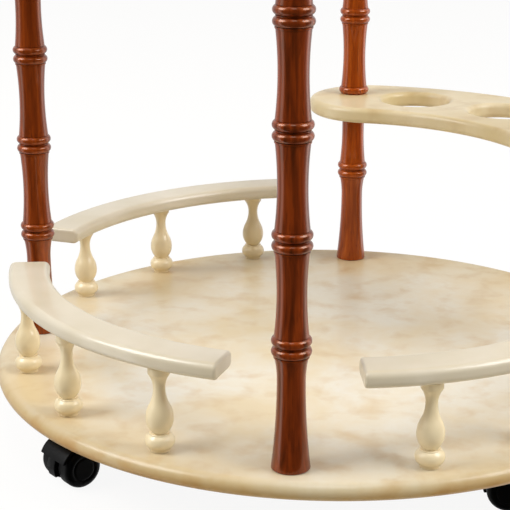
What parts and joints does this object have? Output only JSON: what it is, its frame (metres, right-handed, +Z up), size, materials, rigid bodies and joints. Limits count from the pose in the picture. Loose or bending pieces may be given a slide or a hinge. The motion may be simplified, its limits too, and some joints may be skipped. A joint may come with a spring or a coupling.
{
  "type": "round serving trolley",
  "caption": "Round tiered serving trolley on twin-wheel casters, with turned legs, curved bottle rack, low galleries, and a cheese board under a lift-off dome.",
  "frame": {"origin": "on the floor under the middle of the trolley's outline; the shelves share an axis 10.5 mm off it on -X and -Y, because the bottle rack stands out on +X and +Y", "axes": "+Z up; -Y towards the front leg; +X towards the right leg, whose side and the back leg's carry the bottle rack"},
  "size_m": [0.7209, 0.721, 1.0716],
  "materials": {
    "shelf_lacquer": "cream clouded lacquer over wood, satin gloss",
    "rack_lacquer": "cream clouded lacquer over wood, satin gloss",
    "gallery_lacquer": "ivory lacquer, gloss",
    "leg_wood": "dark red-brown turned wood under gloss lacquer",
    "board_wood": "oiled cherry board",
    "dowel_wood": "plain beech",
    "clear_acrylic": "clear acrylic, polished",
    "caster_plastic": "black moulded plastic, semi gloss",
    "wheel_plastic": "black moulded plastic, satin",
    "caster_steel": "black zinc plated steel",
    "axle_steel": "drawn steel",
    "fastener_steel": "zinc plated steel"
  },
  "bodies": {
    "frame": {"bottom_shelf": "shelf_lacquer", "top_shelf": "shelf_lacquer", "bottle_rack": "rack_lacquer", "front_leg_lower": "leg_wood", "right_leg_lower": "leg_wood", "back_leg_lower": "leg_wood", "left_leg_lower": "leg_wood", "front_leg_upper": "leg_wood", "right_leg_upper": "leg_wood", "back_leg_upper": "leg_wood", "left_leg_upper": "leg_wood", "front_left_rail": "gallery_lacquer", "front_left_baluster_1": "gallery_lacquer", "front_left_baluster_2": "gallery_lacquer", "front_left_baluster_3": "gallery_lacquer", "front_right_rail": "gallery_lacquer", "front_right_baluster_1": "gallery_lacquer", "front_right_baluster_2": "gallery_lacquer", "front_right_baluster_3": "gallery_lacquer", "back_left_rail": "gallery_lacquer", "back_left_baluster_1": "gallery_lacquer", "back_left_baluster_2": "gallery_lacquer", "back_left_baluster_3": "gallery_lacquer", "top_front_left_rail": "gallery_lacquer", "top_front_left_balusters": "gallery_lacquer", "top_front_right_rail": "gallery_lacquer", "top_front_right_balusters": "gallery_lacquer", "top_back_left_rail": "gallery_lacquer", "top_back_left_balusters": "gallery_lacquer", "front_left_caster_plate": "caster_steel", "front_right_caster_plate": "caster_steel", "back_left_caster_plate": "caster_steel", "back_right_caster_plate": "caster_steel", "leg_joint_studs": "fastener_steel", "leg_foot_screws": "fastener_steel", "leg_head_dowels": "dowel_wood", "caster_screws": "fastener_steel", "board_screws": "fastener_steel", "cheese_board": "board_wood"},
    "front_left_swivel": {"front_left_caster_hood": "caster_plastic", "front_left_caster_axle": "axle_steel"},
    "front_left_wheel_1": {"front_left_caster_wheel_1": "wheel_plastic"},
    "front_left_wheel_2": {"front_left_caster_wheel_2": "wheel_plastic"},
    "front_right_swivel": {"front_right_caster_hood": "caster_plastic", "front_right_caster_axle": "axle_steel"},
    "front_right_wheel_1": {"front_right_caster_wheel_1": "wheel_plastic"},
    "front_right_wheel_2": {"front_right_caster_wheel_2": "wheel_plastic"},
    "back_left_swivel": {"back_left_caster_hood": "caster_plastic", "back_left_caster_axle": "axle_steel"},
    "back_left_wheel_1": {"back_left_caster_wheel_1": "wheel_plastic"},
    "back_left_wheel_2": {"back_left_caster_wheel_2": "wheel_plastic"},
    "back_right_swivel": {"back_right_caster_hood": "caster_plastic", "back_right_caster_axle": "axle_steel"},
    "back_right_wheel_1": {"back_right_caster_wheel_1": "wheel_plastic"},
    "back_right_wheel_2": {"back_right_caster_wheel_2": "wheel_plastic"},
    "dome": {"dome_wall": "clear_acrylic", "dome_cap": "clear_acrylic", "dome_knob": "leg_wood", "knob_screw": "fastener_steel"}
  },
  "joints": [
    {"name": "front_left_swivel_turn", "type": "hinge", "parent": "frame", "child": "front_left_swivel", "pos_m": [-0.22265, -0.22265, 0.042], "axis": [0, 0, 1], "continuous": true},
    {"name": "front_left_wheel_1_roll", "type": "hinge", "parent": "front_left_swivel", "child": "front_left_wheel_1", "pos_m": [-0.2355, -0.23596, 0.02], "axis": [0.7193, -0.6947, 0], "continuous": true},
    {"name": "front_left_wheel_2_roll", "type": "hinge", "parent": "front_left_swivel", "child": "front_left_wheel_2", "pos_m": [-0.2355, -0.23596, 0.02], "axis": [0.7193, -0.6947, 0], "continuous": true},
    {"name": "front_right_swivel_turn", "type": "hinge", "parent": "frame", "child": "front_right_swivel", "pos_m": [0.20161, -0.22265, 0.042], "axis": [0, 0, 1], "continuous": true},
    {"name": "front_right_wheel_1_roll", "type": "hinge", "parent": "front_right_swivel", "child": "front_right_wheel_1", "pos_m": [0.18312, -0.2233, 0.02], "axis": [0.0349, -0.9994, 0], "continuous": true},
    {"name": "front_right_wheel_2_roll", "type": "hinge", "parent": "front_right_swivel", "child": "front_right_wheel_2", "pos_m": [0.18312, -0.2233, 0.02], "axis": [0.0349, -0.9994, 0], "continuous": true},
    {"name": "back_left_swivel_turn", "type": "hinge", "parent": "frame", "child": "back_left_swivel", "pos_m": [-0.22265, 0.20161, 0.042], "axis": [0, 0, 1], "continuous": true},
    {"name": "back_left_wheel_1_roll", "type": "hinge", "parent": "back_left_swivel", "child": "back_left_wheel_1", "pos_m": [-0.20848, 0.18972, 0.02], "axis": [0.6428, 0.766, 0], "continuous": true},
    {"name": "back_left_wheel_2_roll", "type": "hinge", "parent": "back_left_swivel", "child": "back_left_wheel_2", "pos_m": [-0.20848, 0.18972, 0.02], "axis": [0.6428, 0.766, 0], "continuous": true},
    {"name": "back_right_swivel_turn", "type": "hinge", "parent": "frame", "child": "back_right_swivel", "pos_m": [0.20161, 0.20161, 0.042], "axis": [0, 0, 1], "continuous": true},
    {"name": "back_right_wheel_1_roll", "type": "hinge", "parent": "back_right_swivel", "child": "back_right_wheel_1", "pos_m": [0.21899, 0.20794, 0.02], "axis": [-0.342, 0.9397, 0], "continuous": true},
    {"name": "back_right_wheel_2_roll", "type": "hinge", "parent": "back_right_swivel", "child": "back_right_wheel_2", "pos_m": [0.21899, 0.20794, 0.02], "axis": [-0.342, 0.9397, 0], "continuous": true},
    {"name": "dome_lift", "type": "slide", "parent": "frame", "child": "dome", "axis": [0, 0, 1], "range_m": [0, 0.28]}
  ]
}
